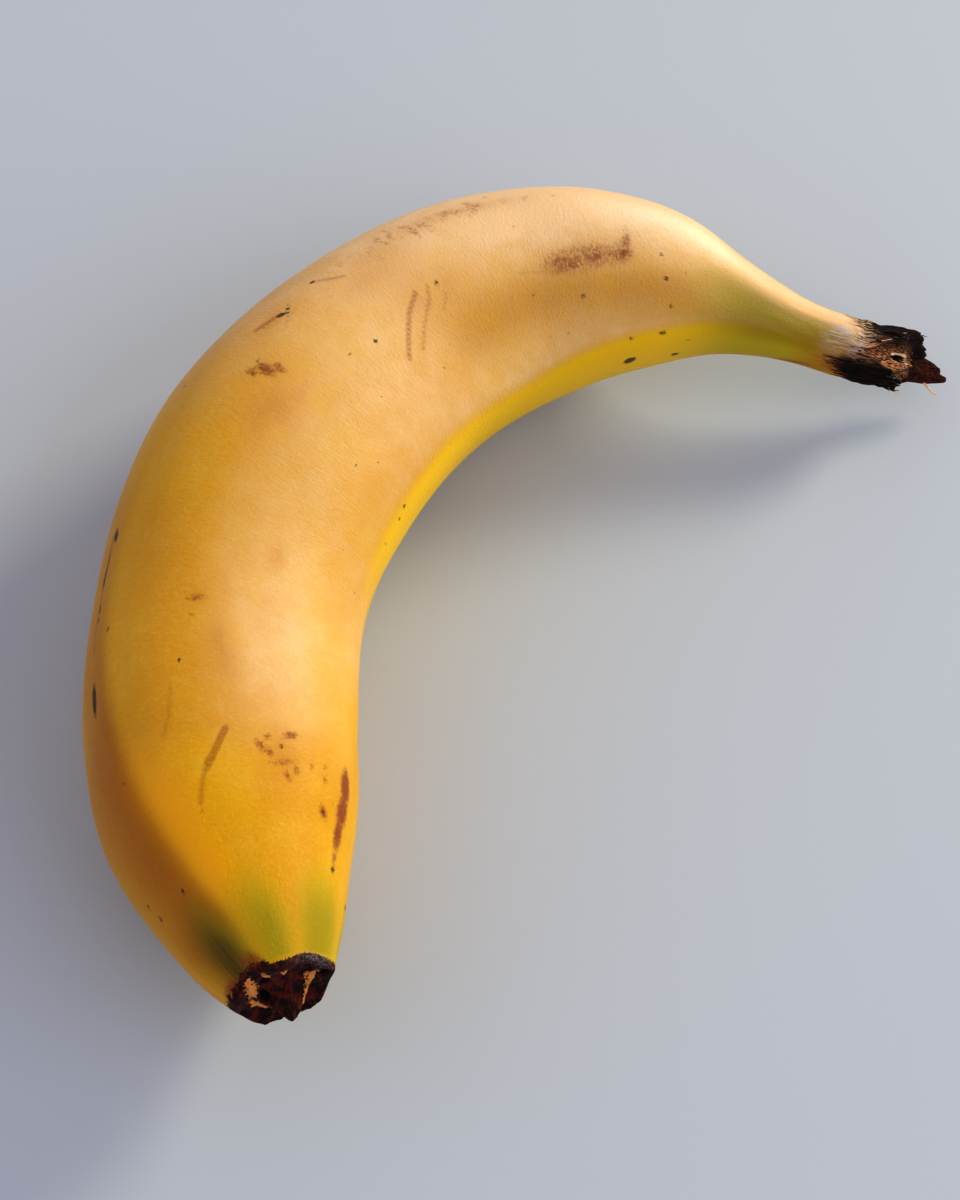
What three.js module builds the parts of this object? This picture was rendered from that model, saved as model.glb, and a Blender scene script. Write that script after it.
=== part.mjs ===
import * as THREE from 'three';
import { mergeVertices } from 'three/addons/utils/BufferGeometryUtils.js';

// A ripe banana that lies on its side, grown as one piece: a curved, softly ridged body that narrows
// to a short neck, the torn stub of its stalk, and a dry scar where the blossom fell off.
// Units are millimetres and degrees. X runs from the blossom end to the stub, Y to the outside of
// the bend and Z up from the table, with the origin on the table under the middle of the fruit.
// Stations go by the way along the middle line, from 0 at the blossom end.
// An angle goes round the fruit: 0 on top, 90 outside the bend, 180 on the table, -90 inside it.

const LENGTH = 196; // along the middle line
const NECK_END = 178; // where the peel gives way to the torn stub

// Heading of the middle line seen from above: [way, degrees to the left of X].
const HEADING = [
  [0, 63], [13, 59.1], [30, 50.1], [57, 35], [86, 12], [114, -11.1], [137, -43.4], [156, -62.4],
  [173, -63.2], [190, -51.5], [196, -48],
];

// Mean radius of the fruit: [way, millimetres].
const RADIUS = [
  [0, 6.6], [6, 9.9], [13, 12.8], [25, 16.5], [38, 17.8], [57, 18], [82, 19], [106, 17.8],
  [125, 16.5], [141, 14], [152, 11.1], [161.5, 7.1], [171, 4.8], [180, 4.7], [196, 4.6],
];

// Height of the middle line over the table, where the underside is pressed flat: [way, millimetres].
const HEIGHT = [
  [0, 19.6], [9, 19], [18, 18], [28, 17.2], [40, 17], [56, 17.25], [76, 17.9], [96, 17.5],
  [114, 16.75], [128, 16.85], [140, 17.7], [150, 17.75], [160, 16.4], [170, 14.1], [180, 11.6],
  [188, 9.8], [196, 8],
];

// Long ridges of the peel: where each runs, [way, angle], and how proud it is, [way, part of radius].
const RIDGES = [
  {
    run: [[0, -75], [19, -72], [95, -74], [125, -79], [148, -70], [163, -55], [177, -44], [196, -42]],
    height: [[0, 0.1], [11, 0.09], [28, 0.06], [57, 0.065], [114, 0.065], [142, 0.075], [161, 0.12],
      [177, 0.1], [196, 0.03]],
  },
  {
    run: [[0, -22], [19, -20], [196, -20]],
    height: [[0, 0.1], [9, 0.075], [23, 0.015], [34, 0], [196, 0]],
  },
  {
    run: [[0, 12], [9, 22], [23, 33], [42, 44], [66, 42], [95, 30], [123, 24], [152, 8], [167, -2],
      [196, -2]],
    height: [[0, 0.1], [11, 0.1], [28, 0.1], [57, 0.075], [85, 0.045], [114, 0.03], [142, 0.04],
      [161, 0.09], [177, 0.08], [196, 0.03]],
  },
  {
    run: [[0, 85], [23, 100], [95, 102], [152, 85], [171, 75], [196, 75]],
    height: [[0, 0.12], [11, 0.045], [28, 0.06], [114, 0.04], [142, 0.05], [161, 0.09], [177, 0.08],
      [196, 0.03]],
  },
  {
    run: [[0, 150], [23, 158], [152, 155], [196, 155]],
    height: [[0, 0.08], [11, 0.06], [27, 0.03], [133, 0.03], [161, 0.07], [177, 0.06], [196, 0.03]],
  },
  {
    run: [[0, 205], [23, 215], [95, 216], [152, 225], [171, 235], [196, 235]],
    height: [[0, 0.1], [11, 0.08], [28, 0.045], [114, 0.045], [142, 0.055], [161, 0.1], [177, 0.08],
      [196, 0.03]],
  },
];
const RIDGE_SHARPNESS = 14;
const RIDGE_MEAN = 0.15; // mean of a ridge's shape round the fruit, so that ridges keep the mean radius

// The blossom end is cut off at a lean: its top lies this far back from its foot.
const END_LEAN = 0.4;
const END_LEAN_FADE = 20; // the rows of the peel follow the lean up to here

// Dry crust on the blossom end, from its middle to its rim: [part of the radius, millimetres proud].
const CRUST = [[0, 3.6], [0.12, 3.3], [0.26, 1.8], [0.42, 0.6], [0.6, 0.1], [0.8, 0.5], [0.94, 0.5]];
const CRUST_NUB_DROP = 2; // the nub in the middle sits this far below the middle line
const CRUST_LOBES = 5;
const CRUST_WAVE = 0.3;

// Torn edge of the stub: [angle, way along the middle line]. The long splinter is on the underside.
const TORN_EDGE = [
  [-180, 190.4], [-168, 187.6], [-150, 186.6], [-123, 186.3], [-95, 186.7], [-75, 186.2], [-55, 185.3],
  [-33, 184.2], [-10, 184.8], [10, 186.2], [30, 187.8], [57, 189], [75, 189.8], [95, 190.6], [130, 192.6],
  [150, 194.2], [165, 195.4], [180, 190.4],
];
const TORN_WAVE = 0.3; // small teeth along the torn edge
const TORN_TEETH = 11;
const CORE_END = 187.6; // the torn core in the middle of the stub ends here
const CORE = [[0.78, 0.08], [0.6, 0.55], [0.4, 0.9], [0, 1]]; // [part of the radius, part of the way to it]

// Fineness of the mesh.
const AROUND = 46;
const BODY_ROWS = 58;
const STUB_ROWS = 7;
const MIDDLE_STEPS = 200;

// Value at a place in a list of stations, by a smooth curve through them.
function along(stations, place) {
  const last = stations.length - 1;
  const slopes = [];
  for (let i = 0; i < last; i += 1) {
    slopes.push((stations[i + 1][1] - stations[i][1]) / (stations[i + 1][0] - stations[i][0]));
  }
  const tangent = (i) => {
    if (i === 0) return 1.5 * slopes[0] - 0.5 * tangent(1);
    if (i === last) return 1.5 * slopes[last - 1] - 0.5 * tangent(last - 1);
    const before = stations[i][0] - stations[i - 1][0];
    const after = stations[i + 1][0] - stations[i][0];
    return (after * slopes[i - 1] + before * slopes[i]) / (before + after);
  };
  const x = THREE.MathUtils.clamp(place, stations[0][0], stations[last][0]);
  let i = 0;
  while (i < last - 1 && x >= stations[i + 1][0]) i += 1;
  const step = stations[i + 1][0] - stations[i][0];
  const t = (x - stations[i][0]) / step;
  return stations[i][1] * (1 + 2 * t) * (1 - t) ** 2 + tangent(i) * step * t * (1 - t) ** 2
    + stations[i + 1][1] * t * t * (3 - 2 * t) + tangent(i + 1) * step * t * t * (t - 1);
}

// Radius of the skin at a way along and an angle.
function skinRadius(way, angle) {
  let factor = 1;
  for (const { run, height } of RIDGES) {
    const gap = THREE.MathUtils.degToRad(angle - along(run, way));
    const shape = ((1 + Math.cos(gap)) / 2) ** RIDGE_SHARPNESS;
    factor += along(height, way) * (shape - RIDGE_MEAN);
  }
  return along(RADIUS, way) * factor;
}

// Middle line of the fruit, walked in small steps along its heading.
function middleLine() {
  const points = [];
  const place = new THREE.Vector3();
  const step = LENGTH / MIDDLE_STEPS;
  for (let i = 0; i <= MIDDLE_STEPS; i += 1) {
    const way = i * step;
    place.z = along(HEIGHT, way);
    points.push(place.clone());
    const heading = THREE.MathUtils.degToRad(along(HEADING, way + step / 2));
    place.x += step * Math.cos(heading);
    place.y += step * Math.sin(heading);
  }
  return new THREE.CatmullRomCurve3(points);
}

// Point of the skin. Size is 1 on the surface and 0 on the middle line. Proud moves the point out of
// the blossom end, and drop moves it down.
const middle = middleLine();
const up = new THREE.Vector3(0, 0, 1);
function skinPoint({ way, angle, size = 1, proud = 0, drop = 0 }) {
  const share = THREE.MathUtils.clamp(way / LENGTH, 0, 1);
  const forward = middle.getTangent(share);
  const outside = up.clone().cross(forward).normalize();
  const top = forward.clone().cross(outside);
  const turn = THREE.MathUtils.degToRad(angle);
  const reach = skinRadius(way, angle) * size;
  const point = middle.getPoint(share);
  point.addScaledVector(top, Math.cos(turn) * reach - drop);
  point.addScaledVector(outside, Math.sin(turn) * reach);
  point.addScaledVector(forward, -proud);
  point.z = Math.max(point.z, 0);
  return point;
}

// Rows of points across the fruit, each a rule that places the row's point at an angle.
function endLean(angle, size) {
  return (END_LEAN / 2) * (1 + size * Math.cos(THREE.MathUtils.degToRad(angle)));
}

function crustRows() {
  return CRUST.map(([size, proud]) => (angle) => {
    const wave = CRUST_WAVE * size * Math.cos(THREE.MathUtils.degToRad(CRUST_LOBES * angle));
    const way = endLean(angle, size);
    return skinPoint({ way, angle, size, proud: proud + wave, drop: CRUST_NUB_DROP * (1 - size) });
  });
}

function bodyRows() {
  return Array.from({ length: BODY_ROWS + 1 }, (_, i) => {
    // rows lie closer together at the blossom end, where the skin turns in
    const part = i / BODY_ROWS;
    const way = NECK_END * part * (0.72 + 0.28 * Math.sqrt(part));
    const leaning = Math.max(0, 1 - way / END_LEAN_FADE);
    return (angle) => skinPoint({ way: way + leaning * endLean(angle, 1), angle });
  });
}

function tornEdge(angle) {
  const half = angle > 180 ? angle - 360 : angle;
  return along(TORN_EDGE, half) + TORN_WAVE * Math.sin(THREE.MathUtils.degToRad(TORN_TEETH * angle));
}

function stubRows() {
  return Array.from({ length: STUB_ROWS }, (_, i) => (angle) => {
    const part = (i + 1) / STUB_ROWS;
    return skinPoint({ way: THREE.MathUtils.lerp(NECK_END, tornEdge(angle), part), angle });
  });
}

function coreRows() {
  return CORE.map(([size, depth]) => (angle) => (
    skinPoint({ way: THREE.MathUtils.lerp(tornEdge(angle), CORE_END, depth), angle, size })
  ));
}

// The whole fruit as one closed skin: a ball whose rows are moved to the rows of the fruit.
function bananaGeometry() {
  const rows = [...crustRows(), ...bodyRows(), ...stubRows(), ...coreRows()];
  const ball = new THREE.SphereGeometry(1, AROUND, rows.length - 1);
  ball.deleteAttribute('normal');
  ball.deleteAttribute('uv');
  rows.forEach((row, i) => {
    for (let j = 0; j <= AROUND; j += 1) {
      const point = row((360 * (j % AROUND)) / AROUND);
      ball.attributes.position.setXYZ(i * (AROUND + 1) + j, point.x, point.y, point.z);
    }
  });
  const skin = mergeVertices(ball);
  skin.computeBoundingBox();
  const centre = skin.boundingBox.getCenter(new THREE.Vector3());
  skin.translate(-centre.x, -centre.y, -skin.boundingBox.min.z);
  skin.computeVertexNormals();
  return skin;
}

const peel = new THREE.MeshStandardMaterial({ color: 0xe9bd45, roughness: 0.45, metalness: 0 });
const banana = new THREE.Mesh(bananaGeometry(), peel);
banana.name = 'banana';

const group = new THREE.Group();
group.add(banana);

export default group;
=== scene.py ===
import math
import random

import bmesh
import bpy
from mathutils import Matrix, Vector, noise


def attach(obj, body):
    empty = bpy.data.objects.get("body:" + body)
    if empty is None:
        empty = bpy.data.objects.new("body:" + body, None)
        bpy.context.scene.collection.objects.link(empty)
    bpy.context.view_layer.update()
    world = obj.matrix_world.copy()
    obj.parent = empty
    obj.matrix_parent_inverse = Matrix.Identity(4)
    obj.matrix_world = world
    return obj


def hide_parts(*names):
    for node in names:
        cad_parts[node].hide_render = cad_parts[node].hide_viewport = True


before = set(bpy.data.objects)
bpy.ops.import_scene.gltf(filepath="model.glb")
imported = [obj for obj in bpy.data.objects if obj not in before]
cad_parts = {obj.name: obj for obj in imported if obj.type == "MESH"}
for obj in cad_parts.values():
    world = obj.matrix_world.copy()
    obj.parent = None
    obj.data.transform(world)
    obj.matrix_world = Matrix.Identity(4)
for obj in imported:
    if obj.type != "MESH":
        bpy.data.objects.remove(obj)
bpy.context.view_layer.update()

# The fruit
# One finger of a bunch, grown as a single piece: flesh in a ridged peel, a neck that narrows to the
# torn stub of the stalk, and the dry scar of the blossom at the other end. It lies on its side.
# Stations go by the way along its middle line from the blossom end, in millimetres, and angles go
# round it in degrees: 0 on top, 90 outside the bend, 180 on the table, -90 inside the bend.
MM = 0.001
LENGTH = 196.0
NECK_END = 178.0
HEADING = [(0, 63), (13, 59.1), (30, 50.1), (57, 35), (86, 12), (114, -11.1), (137, -43.4), (156, -62.4),
           (173, -63.2), (190, -51.5), (196, -48)]
RADIUS = [(0, 6.6), (6, 9.9), (13, 12.8), (25, 16.5), (38, 17.8), (57, 18), (82, 19), (106, 17.8),
          (125, 16.5), (141, 14), (152, 11.1), (161.5, 7.1), (171, 4.8), (180, 4.7), (196, 4.6)]
HEIGHT = [(0, 19.6), (9, 19), (18, 18), (28, 17.2), (40, 17), (56, 17.25), (76, 17.9), (96, 17.5),
          (114, 16.75), (128, 16.85), (140, 17.7), (150, 17.75), (160, 16.4), (170, 14.1), (180, 11.6),
          (188, 9.8), (196, 8)]
# each long ridge of the peel: its angle and its height as a part of the radius, by the way
RIDGES = [
    ([(0, -75), (19, -72), (95, -74), (125, -79), (148, -70), (163, -55), (177, -44), (196, -42)],
     [(0, 0.1), (11, 0.09), (28, 0.06), (57, 0.065), (114, 0.065), (142, 0.075), (161, 0.12), (177, 0.1),
      (196, 0.03)]),
    ([(0, -22), (19, -20), (196, -20)],
     [(0, 0.1), (9, 0.075), (23, 0.015), (34, 0), (196, 0)]),
    ([(0, 12), (9, 22), (23, 33), (42, 44), (66, 42), (95, 30), (123, 24), (152, 8), (167, -2), (196, -2)],
     [(0, 0.1), (11, 0.1), (28, 0.1), (57, 0.075), (85, 0.045), (114, 0.03), (142, 0.04), (161, 0.09),
      (177, 0.08), (196, 0.03)]),
    ([(0, 85), (23, 100), (95, 102), (152, 85), (171, 75), (196, 75)],
     [(0, 0.12), (11, 0.045), (28, 0.06), (114, 0.04), (142, 0.05), (161, 0.09), (177, 0.08), (196, 0.03)]),
    ([(0, 150), (23, 158), (152, 155), (196, 155)],
     [(0, 0.08), (11, 0.06), (27, 0.03), (133, 0.03), (161, 0.07), (177, 0.06), (196, 0.03)]),
    ([(0, 205), (23, 215), (95, 216), (152, 225), (171, 235), (196, 235)],
     [(0, 0.1), (11, 0.08), (28, 0.045), (114, 0.045), (142, 0.055), (161, 0.1), (177, 0.08), (196, 0.03)]),
]
RIDGE_SHARPNESS = 14
RIDGE_MEAN = 0.15
PEEL_INSET = 0.12  # keeps the uneven peel inside the fruit's size


def along(stations, place):
    """Value at a place in a list of stations, by a smooth curve through them."""
    last = len(stations) - 1
    steps = [stations[i + 1][0] - stations[i][0] for i in range(last)]
    slopes = [(stations[i + 1][1] - stations[i][1]) / steps[i] for i in range(last)]

    def tangent(i):
        if i == 0:
            return 1.5 * slopes[0] - 0.5 * tangent(1)
        if i == last:
            return 1.5 * slopes[last - 1] - 0.5 * tangent(last - 1)
        return (steps[i] * slopes[i - 1] + steps[i - 1] * slopes[i]) / (steps[i - 1] + steps[i])

    x = min(max(place, stations[0][0]), stations[last][0])
    i = 0
    while i < last - 1 and x >= stations[i + 1][0]:
        i += 1
    t = (x - stations[i][0]) / steps[i]
    return (stations[i][1] * (1 + 2 * t) * (1 - t) ** 2 + tangent(i) * steps[i] * t * (1 - t) ** 2
            + stations[i + 1][1] * t * t * (3 - 2 * t) + tangent(i + 1) * steps[i] * t * t * (t - 1))


def mix(a, b, part):
    return a + (b - a) * part


def fade(value, low, high):
    """0 below low, 1 above high, and smooth between them."""
    t = min(max((value - low) / (high - low), 0.0), 1.0)
    return t * t * (3 - 2 * t)


def between(value, start, full, fading, end):
    """0 outside start and end, 1 from full to fading, and smooth between them."""
    return fade(value, start, full) * fade(-value, -end, -fading)


def hump(value, centre, spread):
    """1 at the centre, dying away smoothly on both sides of it."""
    return math.exp(-(((value - centre) / spread) ** 2))


def signed(angle):
    """The same angle between -180 and 180."""
    return (angle + 180) % 360 - 180


CREST_WIDTH = 11.0
CREST_HEIGHT = 0.05  # a ridge this high counts as a full one


class Slice:
    """The fruit cut across at one way: its radius and its ridges."""

    def __init__(self, way):
        self.way = way
        self.radius = along(RADIUS, way)
        self.ridges = [(along(run, way), along(height, way)) for run, height in RIDGES]

    def skin(self, angle):
        factor = 1.0
        for run, height in self.ridges:
            shape = ((1 + math.cos(math.radians(angle - run))) / 2) ** RIDGE_SHARPNESS
            factor += height * (shape - RIDGE_MEAN)
        return self.radius * factor

    def crest(self, angle):
        """1 along the crest of a ridge and 0 away from it."""
        best = 0.0
        for run, height in self.ridges:
            best = max(best, min(height / CREST_HEIGHT, 1.0) * hump(signed(angle - run), 0, CREST_WIDTH))
        return best


# the middle line is walked in small steps along its heading
MIDDLE_STEPS = 400
STEP = LENGTH / MIDDLE_STEPS
middle = []
x, y = 0.0, 0.0
for i in range(MIDDLE_STEPS + 1):
    middle.append(Vector((x, y, along(HEIGHT, i * STEP))))
    heading = math.radians(along(HEADING, (i + 0.5) * STEP))
    x += STEP * math.cos(heading)
    y += STEP * math.sin(heading)
headings = []
for i in range(MIDDLE_STEPS + 1):
    headings.append((middle[min(i + 1, MIDDLE_STEPS)] - middle[max(i - 1, 0)]).normalized())


def stand(way):
    """Middle point of the fruit at a way, and its forward, outside and top directions."""
    place = min(max(way / STEP, 0.0), MIDDLE_STEPS - 0.001)
    i = int(place)
    point = middle[i].lerp(middle[i + 1], place - i)
    forward = headings[i].lerp(headings[i + 1], place - i).normalized()
    outside = Vector((0, 0, 1)).cross(forward).normalized()
    return point, forward, outside, forward.cross(outside)


def skin_point(way, angle, reach, proud=0.0, drop=0.0):
    """Point at a reach from the middle line, in millimetres, kept above the table."""
    point, forward, outside, top = stand(way)
    turn = math.radians(angle)
    point = point + top * (math.cos(turn) * reach - drop) + outside * (math.sin(turn) * reach)
    point -= forward * proud
    point.z = max(point.z, 0.0)
    return point


# Marks of the peel, each with its way, angle, half length, half width, and how far its length turns
# off the way. The skin carries them as masks, so that they keep their place on the fruit.
DARK_SPOTS = [
    (39.5, 57, 1.9, 0.55, 0), (61, 53, 0.9, 0.45, 20), (57.5, 56, 2.2, 0.16, 0), (55.3, 57, 0.9, 0.3, 0),
    (51.5, 56, 0.5, 0.25, 0), (50, 56, 0.3, 0.22, 0), (47.5, 47, 0.25, 0.2, 0), (146.5, -100, 1.1, 0.75, 15),
    (151.5, -73, 0.4, 0.3, 0), (154.5, -105, 0.5, 0.35, 0), (146.5, -76, 0.3, 0.25, 0),
    (138, -46, 0.35, 0.25, 0), (150.5, -33, 0.3, 0.22, 0), (149.5, -16, 0.22, 0.2, 0),
    (152, -52, 0.25, 0.2, 0), (100, 26, 0.35, 0.25, 30), (93, 23, 0.45, 0.4, 0), (94.2, 21.8, 1.0, 0.2, 40),
    (85, 15, 0.24, 0.22, 0), (112.6, -13, 0.45, 0.25, 40), (97.5, -19, 0.42, 0.25, 50),
    (93, -15, 0.2, 0.18, 0), (91, -38, 0.15, 0.15, 0), (87.5, -36, 0.15, 0.15, 0),
    (81, -53, 0.18, 0.15, 0), (80.5, -77, 0.35, 0.25, 0), (78, -79, 0.3, 0.22, 0),
    (72, -78, 0.25, 0.2, 0), (7.5, -82, 0.35, 0.3, 0), (12.5, 72, 0.3, 0.28, 0), (26.5, -28, 0.32, 0.3, 0),
    (17.6, -50, 0.35, 0.2, 15), (10.4, -59, 0.35, 0.3, 0), (66, 150, 0.9, 0.5, 20), (120, 118, 1.2, 0.5, 10),
    (88, 96, 0.5, 0.3, 0), (34, 128, 0.6, 0.4, 40), (104, 75, 0.4, 0.3, 0), (133, 66, 0.6, 0.3, 30),
    (48, -125, 0.8, 0.4, 0), (96, -140, 0.6, 0.35, 20),
]
BROWN_SCARS = [
    (83, 14, 0.8, 0.42, 75), (84, 9.5, 1.1, 0.5, 72), (85.2, 5, 0.8, 0.4, 72), (28, -22, 0.4, 0.3, 0),
    (26.5, -18, 0.8, 0.4, 30), (25.5, -22, 0.6, 0.4, 20), (28.5, -33, 0.5, 0.9, 15),
    (24, -29, 0.25, 1.0, 10), (23, -35, 0.45, 0.35, 0), (22, -30, 0.6, 0.3, 20), (24, -43, 0.25, 0.22, 0),
    (24.5, -51, 0.22, 0.22, 0), (22.5, -51, 0.3, 0.2, 0), (2.0, 31, 0.5, 0.5, 0), (1.3, 21, 1.3, 0.7, 25),
    (0.8, 60, 0.9, 2.0, 0), (49.5, 7, 0.3, 0.8, 0), (172, -113, 2.0, 0.35, 10), (108, 140, 1.8, 0.5, 25),
    (58, 112, 1.2, 0.45, 0), (75, -118, 1.5, 0.45, 15), (136, -135, 1.4, 0.6, 0), (17.6, -50, 0.9, 0.5, 15),
    (23, -65.5, 2.6, 1.0, 4), (19, -64.3, 2.4, 1.0, -6), (15.5, -62.3, 2.0, 0.7, -8),
    (144.6, -20, 0.5, 0.45, 20), (140.5, -23, 0.5, 0.3, 40), (137, -28, 0.5, 0.25, 0),
    (144.8, -11, 0.2, 0.9, 0),
]
# each scratch: its half width, then the points it runs through, way and angle
SCRATCHES = [
    (0.13, [(108.5, -12), (105, -19), (102.5, -26), (99.5, -35)]), (0.2, [(25.5, 3), (24, 6.5)]),
    (0.1, [(111, -12), (109.5, -19), (106, -27), (102.5, -36)]), (0.07, [(126.5, -25), (135.5, -31)]),
    (0.22, [(29.5, -4), (26, 2), (24.5, 6)]), (0.1, [(24.5, 6), (22, 10), (19.5, 13)]),
    (0.08, [(37, 17), (33, 18.5), (29.5, 22)]), (0.12, [(93, 23), (91, 25.5), (89.5, 27)]),
    (0.08, [(95, 20), (91, 15)]), (0.07, [(92, 20), (90.5, 22)]), (0.1, [(100, 26), (102, 19), (103, 17)]),
    (0.09, [(113, -20), (110.5, -27)]), (0.1, [(60, 84), (66, 96)]),
    (0.12, [(112, 96), (119, 104), (125, 108)]), (0.11, [(42, -112), (47, -104)]),
    (0.1, [(59.5, 54), (53, 57), (46, 58)]),
]
SCRATCH_SPREAD = 0.6
DEEP_SCRATCH = 0.16  # a scratch of this half width shows in full
BRUISES = [
    (135.5, -25, 3.6, 2.0, 0), (140, -22, 3.4, 2.2, 5), (144, -20, 1.9, 1.7, 20), (144.6, -20, 1.1, 1.0, 0),
    (144.6, -20, 0.8, 0.7, 0), (144.8, -13, 1.8, 0.6, 80),
    (25, -66, 1.6, 0.6, 5), (22.5, -65, 1.9, 1.0, 0), (22, -65, 1.5, 0.7, 0), (18.5, -64, 1.9, 1.2, -8),
    (18.8, -64, 1.3, 0.9, 0), (15, -62, 1.9, 0.8, 0), (15.5, -62, 1.4, 0.5, 0), (12, -60, 1.8, 0.5, 0),
    (84.3, 9.5, 2.2, 0.8, 72), (70, 130, 4.0, 2.0, 10), (124, 112, 3.0, 1.6, 0),
]
STAINS = [
    (112, -14, 7.0, 4.5, 0), (107, 8, 6.0, 3.0, 0), (79.5, -4, 8.0, 4.0, 0), (41.5, -5, 6.0, 1.8, 10),
    (57.5, -25, 2.4, 1.3, 0), (49.5, 6, 1.6, 1.0, 0), (25, -28, 4.0, 3.0, 0), (121, 22, 9.0, 1.8, 0),
    (58, 62, 14.0, 3.0, 0), (92, 110, 14.0, 4.0, 0), (30, 150, 9.0, 5.0, 0), (109, 15, 3.2, 1.8, 0),
    (92, 24, 3.0, 1.2, 10),
]
# a band of fine brown specks on the back of the bend, and dark specks all over
BACK_SPECKS = 60
BACK_SPECKS_WAY = (121, 6)
BACK_SPECKS_ANGLE = (23, 4)
BACK_SPECKS_TURN = 80
SPECKLES = 90
SPECKLE_SEED = 11
specks = random.Random(SPECKLE_SEED)
for _ in range(BACK_SPECKS):
    size = specks.uniform(0.02, 0.1)
    speck = (specks.gauss(*BACK_SPECKS_WAY), specks.gauss(*BACK_SPECKS_ANGLE), size * specks.uniform(1, 3))
    BROWN_SCARS.append((*speck, size, BACK_SPECKS_TURN))
for _ in range(SPECKLES):
    size = specks.uniform(0.08, 0.16)
    speck = (specks.uniform(8, 168), specks.uniform(-180, 180), size * specks.uniform(1, 1.8))
    DARK_SPOTS.append((*speck, size, 0))
# painted sheen: a pale cream colour stands in for the sheen of the wax. It covers the top face, up to
# the ridge inside the bend, and is strongest on the back and along a band
FACE_PAINTED_SHEEN = [(18, 0), (45, 0.42), (70, 0.42), (90, 0.5), (110, 0.62), (150, 0.66), (163, 0.45), (172, 0.1)]
BACK_PAINTED_SHEEN = [(96, 0), (115, 0.35), (137, 0.6), (158, 0.55), (170, 0.2)]
BAND_RUN = [(30, -30), (45, -30), (75, -24), (95, -26), (112, -22)]
BAND_PAINTED_SHEEN = [(25, 0), (40, 0.45), (60, 0.25), (90, 0.1), (112, 0)]
# soft patches: the ways where each starts, is full, begins to fade and ends, its middle angle and spread
# painted highlight: pale cream along the inside of the bend, where the lamp grazes it
INNER_PAINTED_HIGHLIGHT = ((35, 48, 54, 74), -78, 12)
# painted shade: a dull tan over the top face from the middle onward, and on the back and top of the bend
SHADE_FACE = ((92, 118, 152, 166), -42, 25)
SHADE_BACK = ((98, 108, 108, 120), 20, 14)
SHADE_TOP = ((97, 108, 106, 120), -8, 18)
SHADE_BEND = ((124, 136, 140, 152), -4, 13)
PATCHES = {
    # painted highlight: near-white cream on the back of the bend
    "painted_highlight": ((134, 150, 154, 166), 14, 13),
    "cream": ((156, 170, 200, 201), 24, 34),
    "scuff": ((172.5, 176, 180, 183), -20, 32),
    "scorch": ((169, 177.5, 200, 201), -92, 42),
    "straw": ((179, 181, 200, 201), -30, 17),
}
OUTSIDE = -1.5  # millimetres, for a place that is in no mark


def inside(mark, forth, sideways):
    """How deep a place lies in a mark: 1 in its middle, 0 on its edge, and negative outside."""
    half_length, half_width, turn = mark[2:]
    c, s = math.cos(math.radians(turn)), math.sin(math.radians(turn))
    return 1 - math.hypot((forth * c + sideways * s) / half_length, (sideways * c - forth * s) / half_width)


def patch(place, way, half):
    """How much of a soft patch lies on a way and an angle."""
    ways, angle, spread = place
    return between(way, *ways) * hump(half, angle, spread)


class Marks:
    """The marks that a slice of the fruit may meet, and how they colour a place on it."""

    NEAR = 1.6  # millimetres beyond its half length that a mark is still counted
    SOFT_REACH = 2.6  # a soft mark fades out this many half lengths from its middle

    def __init__(self, way):
        def near(marks, reach):
            return [mark for mark in marks if abs(mark[0] - way) < reach * max(mark[2], mark[3]) + self.NEAR]

        self.way = way
        self.dark = near(DARK_SPOTS, 1)
        self.brown = near(BROWN_SCARS, 1)
        self.bruise = near(BRUISES, self.SOFT_REACH)
        self.stain = near(STAINS, self.SOFT_REACH)
        self.scratches = []
        for half_width, points in SCRATCHES:
            if min(point[0] for point in points) - 2 < way < max(point[0] for point in points) + 2:
                self.scratches.append((half_width, points))

    def depths(self, marks, angle, radius):
        for mark in marks:
            sideways = math.radians(signed(angle - mark[1])) * radius
            yield mark, inside(mark, self.way - mark[0], sideways)

    def deepest(self, marks, angle, radius):
        """Distance inside the edge of the nearest mark, in millimetres."""
        return max([OUTSIDE] + [depth * min(mark[2:4]) for mark, depth in self.depths(marks, angle, radius)])

    def softest(self, marks, angle, radius):
        """How strongly soft marks tint a place, from 0 to 1."""
        clear = 1.0
        for _, depth in self.depths(marks, angle, radius):
            clear *= 1 - math.exp(-(1 - depth) ** 2)
        return 1 - clear

    def scratched(self, angle, radius):
        """How strongly the nearest scratch tints a place, from 0 to 1."""
        strength = 0.0
        for half_width, points in self.scratches:
            for (way_a, angle_a), (way_b, angle_b) in zip(points, points[1:]):
                a = Vector((way_a - self.way, math.radians(angle_a - angle) * radius))
                b = Vector((way_b - self.way, math.radians(angle_b - angle) * radius))
                part = min(max(-a.dot(b - a) / (b - a).length_squared, 0.0), 1.0)
                clear_by = a.lerp(b, part).length / SCRATCH_SPREAD
                strength = max(strength, min(half_width / DEEP_SCRATCH, 1.0) * math.exp(-clear_by ** 2))
        return strength


# The blossom end is cut off at a lean and closed by a dry black crust with a nub in its middle, a few
# tan places where it has flaked, and three pits.
END_LEAN = 0.4
END_LEAN_FADE = 20.0
CRUST = [(0, 3.6), (0.12, 3.3), (0.26, 1.8), (0.42, 0.6), (0.6, 0.1), (0.8, 0.5), (0.94, 0.5), (1, 0.1)]
CRUST_NUB_DROP = 2.0
CRUST_LOBES = 5
CRUST_WAVE = 0.3
CRAGS = [(0.5, 0.8), (0.26, 2.1), (0.12, 4.7)]  # height and fineness
CRAG_DROP = 0.3
FLAKE_RISE = 0.25
PIT_DEPTH = 1.2
# how far the crust reaches on to the peel, by angle
CRUST_EDGE = [(-180, 0.5), (-90, 0.2), (-50, -0.5), (-15, -0.3), (15, 0.7), (35, 0.9), (70, 0.5),
              (180, 0.5)]
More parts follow.
